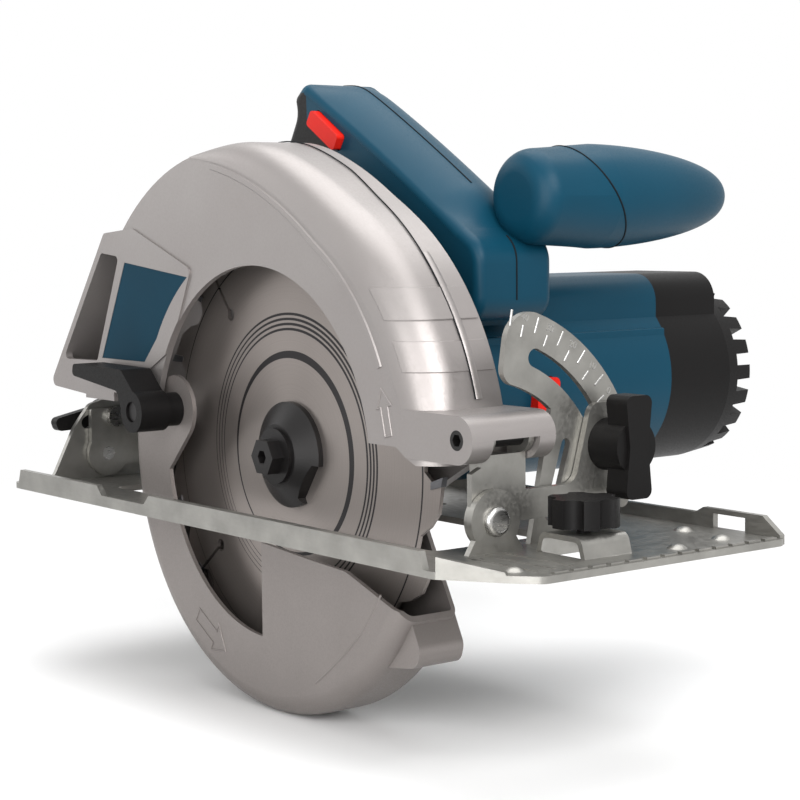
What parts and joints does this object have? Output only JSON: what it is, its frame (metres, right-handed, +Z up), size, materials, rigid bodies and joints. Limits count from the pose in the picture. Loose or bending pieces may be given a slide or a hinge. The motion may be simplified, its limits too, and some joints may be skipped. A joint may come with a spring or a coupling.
{
  "type": "circular saw",
  "caption": "Hand-held corded circular saw: toothed blade in a cast guard with a swinging lower guard, side motor, loop handle, front grip and a tilting steel base.",
  "frame": {"origin": "on the sole of the base, under the blade axis and in the blade's mid-plane", "axes": "+X is the cutting direction (front of the base), +Y runs from the blade to the motor, +Z is up from the sole"},
  "size_m": [0.3371, 0.2566, 0.251],
  "materials": {
    "cast_guard": "die-cast, satin painted",
    "blue_plate": "flat blue plate",
    "blue_plastic": "glass-filled, fine grain",
    "black_plastic": "glass-filled, fine grain",
    "grey_plastic": "moulded",
    "red_plastic": "moulded",
    "black_rubber": "moulded",
    "steel": "machined",
    "black_steel": "blackened",
    "zinc_steel": "zinc plated sheet",
    "blade_steel": "ground in rings",
    "carbide": "sintered",
    "laminated_steel": "stacked laminations",
    "copper": "enamelled copper",
    "carbon": "carbon block"
  },
  "bodies": {
    "saw_body": {"upper_guard": "cast_guard", "duct_plate": "blue_plate", "bearing_cover": "steel", "cover_screws": "steel", "spindle_front_bearing": "steel", "spindle_rear_bearing": "steel", "motor_front_bearing": "steel", "motor_rear_bearing": "steel", "motor_housing": "blue_plastic", "bearing_bridge": "cast_guard", "motor_end_cap": "black_plastic", "handle_near": "blue_plastic", "handle_far": "blue_plastic", "front_grip": "blue_plastic", "handle_screws": "steel", "switch_body": "black_plastic", "rear_leg": "black_plastic", "cord_bush": "black_rubber", "stator_core": "laminated_steel", "field_coils": "copper", "brush_holders": "copper", "carbon_brushes": "carbon", "depth_pin": "black_steel", "depth_bolt": "steel"},
    "spindle_set": {"spindle": "steel", "spindle_gear": "steel", "inner_flange": "black_steel", "outer_flange": "black_steel", "saw_blade": "blade_steel", "carbide_tips": "carbide", "blade_bolt": "black_steel"},
    "armature": {"armature_shaft": "steel", "armature_core": "laminated_steel", "armature_windings": "copper", "commutator": "copper", "cooling_fan": "grey_plastic"},
    "guard_shell": {"lower_guard": "cast_guard", "guard_lever": "black_plastic", "guard_lever_screw": "steel"},
    "trigger_key": {"trigger": "black_plastic"},
    "lock_button": {"lock_off": "red_plastic"},
    "shaft_button": {"shaft_lock": "red_plastic"},
    "depth_handle": {"depth_lever": "black_plastic"},
    "tilt_frame": {"depth_arm": "zinc_steel", "tilt_bracket": "zinc_steel", "rear_bevel_bolt": "steel", "bevel_bolt": "steel"},
    "base": {"base_plate": "zinc_steel", "bevel_rivets": "steel"},
    "bevel_handle": {"bevel_knob": "black_plastic"},
    "rear_handle": {"rear_lever": "black_plastic"},
    "guide_screw": {"guide_clamp": "black_plastic"}
  },
  "joints": [
    {"name": "blade_spin", "type": "hinge", "parent": "saw_body", "child": "spindle_set", "pos_m": [0, 0, 0.025], "axis": [0, 1, 0], "continuous": true},
    {"name": "armature_spin", "type": "hinge", "parent": "saw_body", "child": "armature", "pos_m": [0.00999, 0.06, 0.049], "axis": [0, 1, 0], "continuous": true},
    {"name": "lower_guard_open", "type": "hinge", "parent": "saw_body", "child": "guard_shell", "pos_m": [0, 0, 0.025], "axis": [0, 1, 0], "range_deg": [0, 110], "stiffness_Nm_per_rad": 0.35, "springref_deg": -34.38},
    {"name": "trigger_pull", "type": "slide", "parent": "saw_body", "child": "trigger_key", "axis": [0.5297, 0, 0.8482], "range_m": [0, 0.006], "stiffness_N_per_m": 800, "springref_m": -0.003},
    {"name": "lock_off_press", "type": "slide", "parent": "saw_body", "child": "lock_button", "axis": [0, 1, 0], "range_m": [0, 0.004], "stiffness_N_per_m": 600, "springref_m": -0.002},
    {"name": "shaft_lock_press", "type": "slide", "parent": "saw_body", "child": "shaft_button", "axis": [-1, 0, 0], "range_m": [0, 0.0035], "stiffness_N_per_m": 800, "springref_m": -0.002},
    {"name": "depth_lever_turn", "type": "hinge", "parent": "saw_body", "child": "depth_handle", "pos_m": [-0.06528, 0.024, 0.02544], "axis": [0, -1, 0], "range_deg": [0, 50]},
    {"name": "depth_pivot", "type": "hinge", "parent": "saw_body", "child": "tilt_frame", "pos_m": [0.124, 0, 0.042], "axis": [0, -1, 0], "range_deg": [0, 32]},
    {"name": "bevel_tilt", "type": "hinge", "parent": "tilt_frame", "child": "base", "pos_m": [0.124, -0.0045, 0.0135], "axis": [-1, 0, 0], "range_deg": [0, 45]},
    {"name": "bevel_knob_turn", "type": "hinge", "parent": "tilt_frame", "child": "bevel_handle", "pos_m": [0.13, 0.05067, 0.03579], "axis": [1, 0, 0], "range_deg": [0, 90]},
    {"name": "rear_lever_turn", "type": "hinge", "parent": "tilt_frame", "child": "rear_handle", "pos_m": [-0.152, -0.00097, 0.03013], "axis": [1, 0, 0], "range_deg": [0, 50]},
    {"name": "guide_clamp_turn", "type": "hinge", "parent": "base", "child": "guide_screw", "pos_m": [0.147, 0.019, 0.012], "axis": [0, 0, 1], "range_deg": [0, 180]}
  ],
  "couplings": [
    {"joint": "armature_spin", "follows": "blade_spin", "ratio": -5.5}
  ]
}
